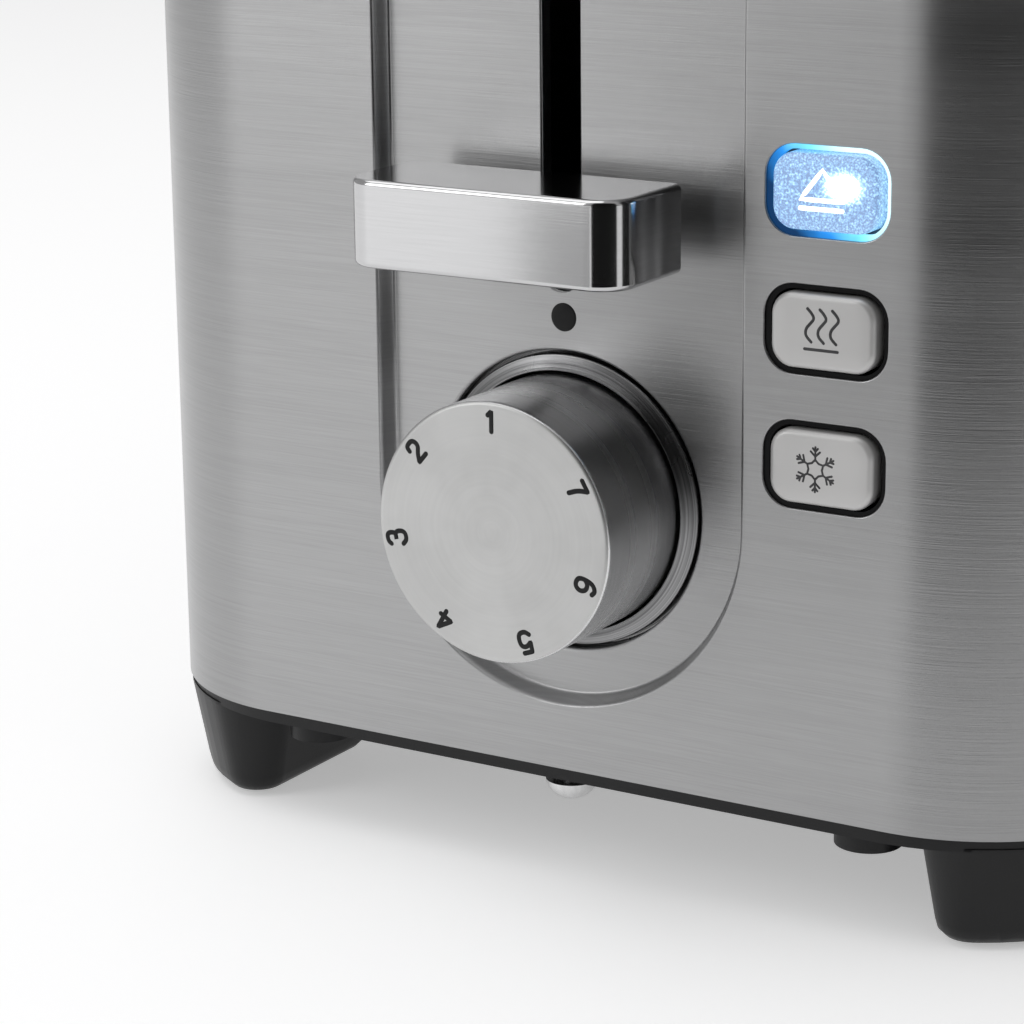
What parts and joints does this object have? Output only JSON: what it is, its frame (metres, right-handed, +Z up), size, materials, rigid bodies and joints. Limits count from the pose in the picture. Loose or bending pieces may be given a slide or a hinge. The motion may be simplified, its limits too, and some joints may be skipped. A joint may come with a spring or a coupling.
{
  "type": "pop-up toaster",
  "caption": "Free-standing toaster with an end lever, browning dial, push buttons, twin bread slots, self-centring guides and a pull-out crumb tray.",
  "frame": {"origin": "on the table, under the middle of the overall box", "axes": "+Z up, -Y towards the control end with the lever and dial, +X to the right seen from the control end"},
  "size_m": [0.18, 0.2994, 0.196],
  "materials": {
    "brushed_steel": "horizontal fine brushing",
    "black_plastic": "satin moulded",
    "rubber": "matte",
    "bright_steel": "bright",
    "clear_plastic": "clear, lit from behind",
    "silver_plastic": "satin silver paint",
    "bezel_metal": "concentric turned",
    "knob_metal": "satin face, polished side",
    "zinc_sheet": "galvanised",
    "chromed_lever": "polished",
    "dark_plastic": "moulded",
    "magnet_iron": "laminated",
    "copper_wire": "enamelled",
    "board_green": "solder mask",
    "mica": "pale mica sheet",
    "heater_alloy": "oxidised ribbon",
    "white_plastic": "moulded",
    "wire_cover": "sleeved wire"
  },
  "bodies": {
    "housing": {"outer_shell": "brushed_steel", "top_plate": "brushed_steel", "base_tray": "black_plastic", "foot_pads": "rubber", "base_screws": "bright_steel", "button_frame": "black_plastic", "light_guide": "clear_plastic", "knob_bezel": "bezel_metal", "pot_body": "zinc_sheet", "guide_rods": "bright_steel", "carriage_spring": "bright_steel", "magnet_core": "magnet_iron", "magnet_coil": "copper_wire", "control_board": "board_green", "board_parts": "dark_plastic", "tact_switches": "dark_plastic", "button_leds": "clear_plastic", "chassis_front": "zinc_sheet", "chassis_rear": "zinc_sheet", "chassis_top": "zinc_sheet", "reflector_left": "bright_steel", "reflector_right": "bright_steel", "heater_board_1": "mica", "heater_board_2": "mica", "heater_board_3": "mica", "heater_board_4": "mica", "heater_ribbon_1": "heater_alloy", "heater_ribbon_2": "heater_alloy", "heater_ribbon_3": "heater_alloy", "heater_ribbon_4": "heater_alloy", "cord_gland": "black_plastic", "terminal_block": "white_plastic", "power_contacts": "copper_wire", "internal_wiring": "wire_cover", "chassis_screws": "bright_steel"},
    "carriage": {"lever_handle": "chromed_lever", "lever_arm": "zinc_sheet", "carriage_slider": "dark_plastic", "bread_rack_left": "zinc_sheet", "bread_rack_right": "zinc_sheet", "keeper_plate": "zinc_sheet"},
    "dial": {"dial_knob": "knob_metal", "pot_shaft": "bright_steel"},
    "cancel": {"cancel_button": "silver_plastic"},
    "reheat": {"reheat_button": "silver_plastic"},
    "defrost": {"defrost_button": "silver_plastic"},
    "guide_1": {"bread_guide_1": "bright_steel"},
    "guide_2": {"bread_guide_2": "bright_steel"},
    "guide_3": {"bread_guide_3": "bright_steel"},
    "guide_4": {"bread_guide_4": "bright_steel"},
    "tray": {"crumb_tray": "zinc_sheet", "tray_pull": "black_plastic"}
  },
  "joints": [
    {"name": "carriage_slide", "type": "slide", "parent": "housing", "child": "carriage", "axis": [0, 0, 1], "range_m": [0, 0.052], "deforming": ["carriage_spring"]},
    {"name": "dial_turn", "type": "hinge", "parent": "housing", "child": "dial", "pos_m": [0, -0.1273, 0.0623], "axis": [0, 1, 0], "range_deg": [0, 300]},
    {"name": "cancel_press", "type": "slide", "parent": "housing", "child": "cancel", "axis": [0, 1, 0], "range_m": [0, 0.0012], "stiffness_N_per_m": 700, "springref_m": -0.001},
    {"name": "reheat_press", "type": "slide", "parent": "housing", "child": "reheat", "axis": [0, 1, 0], "range_m": [0, 0.0012], "stiffness_N_per_m": 700, "springref_m": -0.001},
    {"name": "defrost_press", "type": "slide", "parent": "housing", "child": "defrost", "axis": [0, 1, 0], "range_m": [0, 0.0012], "stiffness_N_per_m": 700, "springref_m": -0.001},
    {"name": "guide_1_slide", "type": "slide", "parent": "housing", "child": "guide_1", "axis": [-1, 0, 0], "range_m": [0, 0.0065]},
    {"name": "guide_2_slide", "type": "slide", "parent": "housing", "child": "guide_2", "axis": [1, 0, 0], "range_m": [0, 0.0065]},
    {"name": "guide_3_slide", "type": "slide", "parent": "housing", "child": "guide_3", "axis": [-1, 0, 0], "range_m": [0, 0.0065]},
    {"name": "guide_4_slide", "type": "slide", "parent": "housing", "child": "guide_4", "axis": [1, 0, 0], "range_m": [0, 0.0065]},
    {"name": "tray_slide", "type": "slide", "parent": "housing", "child": "tray", "axis": [0, 1, 0], "range_m": [0, 0.2]}
  ],
  "couplings": [
    {"joint": "guide_1_slide", "follows": "carriage_slide", "ratio": 0.125},
    {"joint": "guide_2_slide", "follows": "carriage_slide", "ratio": 0.125},
    {"joint": "guide_3_slide", "follows": "carriage_slide", "ratio": 0.125},
    {"joint": "guide_4_slide", "follows": "carriage_slide", "ratio": 0.125}
  ]
}
